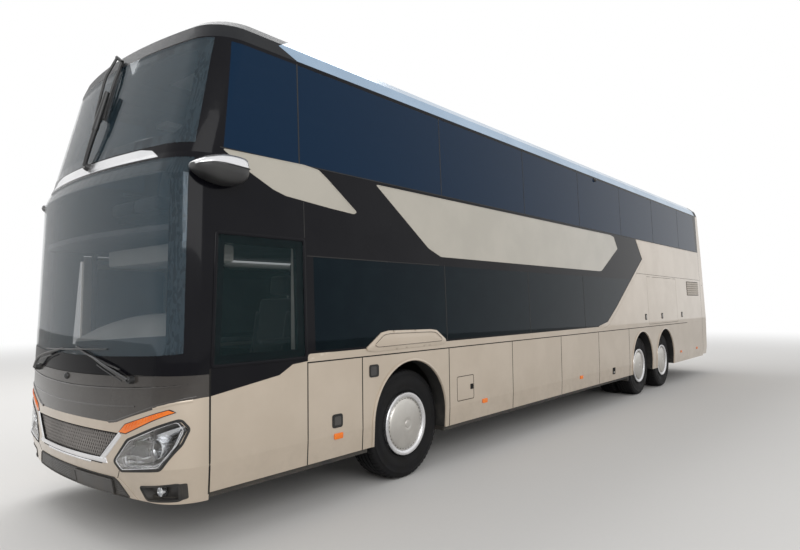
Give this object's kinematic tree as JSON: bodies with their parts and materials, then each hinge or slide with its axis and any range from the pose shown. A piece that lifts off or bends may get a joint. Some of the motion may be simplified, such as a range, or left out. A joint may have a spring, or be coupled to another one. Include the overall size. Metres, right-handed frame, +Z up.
{
  "type": "double-deck coach",
  "caption": "Three-axle double-deck coach body on wheels with steering, swinging passenger doors and lifting luggage and engine doors.",
  "frame": {"origin": "on the ground under the middle of the vehicle's length and width", "axes": "+X forward, +Y to the vehicle's left, +Z up"},
  "size_m": [14.0041, 2.8406, 4],
  "materials": {
    "paint": "champagne metallic gloss",
    "black_gloss": "gloss black",
    "side_glass": "dark tinted",
    "clear_glass": "clear laminated",
    "silver": "satin silver",
    "grille": "dark mesh",
    "lamp": "clear lens",
    "red_lamp": "red lens",
    "steel": "chassis black",
    "floor": "vinyl",
    "seat": "woven",
    "dash": "soft grained",
    "rubber": "black",
    "engine": "painted casting",
    "wheel": "polished",
    "tyre": "matt"
  },
  "bodies": {
    "body": {"left_side": "paint", "right_side": "paint", "left_window_frame": "black_gloss", "right_window_frame": "black_gloss", "window_glass": "side_glass", "cab_windows": "clear_glass", "rear_window": "side_glass", "side_trim": "paint", "bumper": "paint", "front_panel": "black_gloss", "front_frame": "black_gloss", "windscreens": "clear_glass", "grille": "grille", "front_lamps": "lamp", "roof": "black_gloss", "bright_trim": "silver", "rear_wall": "paint", "rear_lamps": "red_lamp", "underframe": "steel", "luggage_floor": "steel", "wheel_housings": "steel", "upper_floor": "floor", "stairs": "floor", "passenger_seats": "seat", "driver_seat": "seat", "dashboard": "dash", "steering_wheel": "rubber", "engine": "engine", "axles": "steel", "wipers": "rubber", "camera_wings": "silver"},
    "engine_lid": {"engine_lid": "paint"},
    "left_luggage_door": {"left_luggage_door": "paint"},
    "right_luggage_door": {"right_luggage_door": "paint"},
    "front_door_arm": {"front_door_arm": "steel"},
    "front_door_leaf": {"front_door": "paint", "front_door_glass": "side_glass"},
    "middle_door_arm": {"middle_door_arm": "steel"},
    "middle_door_leaf": {"middle_door": "paint", "middle_door_glass": "side_glass"},
    "front_left_knuckle": {"front_left_knuckle": "steel"},
    "front_right_knuckle": {"front_right_knuckle": "steel"},
    "front_left_wheel": {"front_left_wheel": "wheel", "front_left_tyre": "tyre"},
    "front_right_wheel": {"front_right_wheel": "wheel", "front_right_tyre": "tyre"},
    "drive_left_wheel": {"drive_left_wheel": "wheel", "drive_left_tyre": "tyre"},
    "drive_right_wheel": {"drive_right_wheel": "wheel", "drive_right_tyre": "tyre"},
    "tag_left_wheel": {"tag_left_wheel": "wheel", "tag_left_tyre": "tyre"},
    "tag_right_wheel": {"tag_right_wheel": "wheel", "tag_right_tyre": "tyre"}
  },
  "joints": [
    {"name": "steer_left", "type": "hinge", "parent": "body", "child": "front_left_knuckle", "pos_m": [4.35, 0.89, 0.522], "axis": [0, 0, 1], "range_deg": [-40, 40]},
    {"name": "steer_right", "type": "hinge", "parent": "body", "child": "front_right_knuckle", "pos_m": [4.35, -0.89, 0.522], "axis": [0, 0, 1], "range_deg": [-40, 40]},
    {"name": "front_left_wheel_spin", "type": "hinge", "parent": "front_left_knuckle", "child": "front_left_wheel", "pos_m": [4.35, 1.042, 0.522], "axis": [0, 1, 0], "continuous": true},
    {"name": "front_right_wheel_spin", "type": "hinge", "parent": "front_right_knuckle", "child": "front_right_wheel", "pos_m": [4.35, -1.042, 0.522], "axis": [0, 1, 0], "continuous": true},
    {"name": "drive_left_wheel_spin", "type": "hinge", "parent": "body", "child": "drive_left_wheel", "pos_m": [-2.35, 1.042, 0.522], "axis": [0, 1, 0], "continuous": true},
    {"name": "drive_right_wheel_spin", "type": "hinge", "parent": "body", "child": "drive_right_wheel", "pos_m": [-2.35, -1.042, 0.522], "axis": [0, 1, 0], "continuous": true},
    {"name": "tag_left_wheel_spin", "type": "hinge", "parent": "body", "child": "tag_left_wheel", "pos_m": [-3.7, 1.042, 0.522], "axis": [0, 1, 0], "continuous": true},
    {"name": "tag_right_wheel_spin", "type": "hinge", "parent": "body", "child": "tag_right_wheel", "pos_m": [-3.7, -1.042, 0.522], "axis": [0, 1, 0], "continuous": true},
    {"name": "front_door_swing", "type": "hinge", "parent": "body", "child": "front_door_arm", "pos_m": [6.33, -1.13, 1.3], "axis": [0, 0, 1], "range_deg": [0, 120]},
    {"name": "front_door_keep_parallel", "type": "hinge", "parent": "front_door_arm", "child": "front_door_leaf", "pos_m": [5.71, -1.1, 1.3], "axis": [0, 0, 1], "range_deg": [-120, 0]},
    {"name": "middle_door_swing", "type": "hinge", "parent": "body", "child": "middle_door_arm", "pos_m": [-0.67, -1.13, 1.3], "axis": [0, 0, 1], "range_deg": [0, 120]},
    {"name": "middle_door_keep_parallel", "type": "hinge", "parent": "middle_door_arm", "child": "middle_door_leaf", "pos_m": [-1.29, -1.1, 1.3], "axis": [0, 0, 1], "range_deg": [-120, 0]},
    {"name": "left_luggage_hinge", "type": "hinge", "parent": "body", "child": "left_luggage_door", "pos_m": [-3.675, 1.24834, 2.15], "axis": [1, 0, 0], "range_deg": [0, 85]},
    {"name": "right_luggage_hinge", "type": "hinge", "parent": "body", "child": "right_luggage_door", "pos_m": [-3.675, -1.24834, 2.15], "axis": [-1, 0, 0], "range_deg": [0, 85]},
    {"name": "engine_lid_hinge", "type": "hinge", "parent": "body", "child": "engine_lid", "pos_m": [-6.9683, 0, 1.82], "axis": [0, 1, 0], "range_deg": [0, 75]}
  ],
  "couplings": [
    {"joint": "steer_right", "follows": "steer_left", "ratio": 1},
    {"joint": "front_door_keep_parallel", "follows": "front_door_swing", "ratio": -1},
    {"joint": "middle_door_keep_parallel", "follows": "middle_door_swing", "ratio": -1}
  ]
}
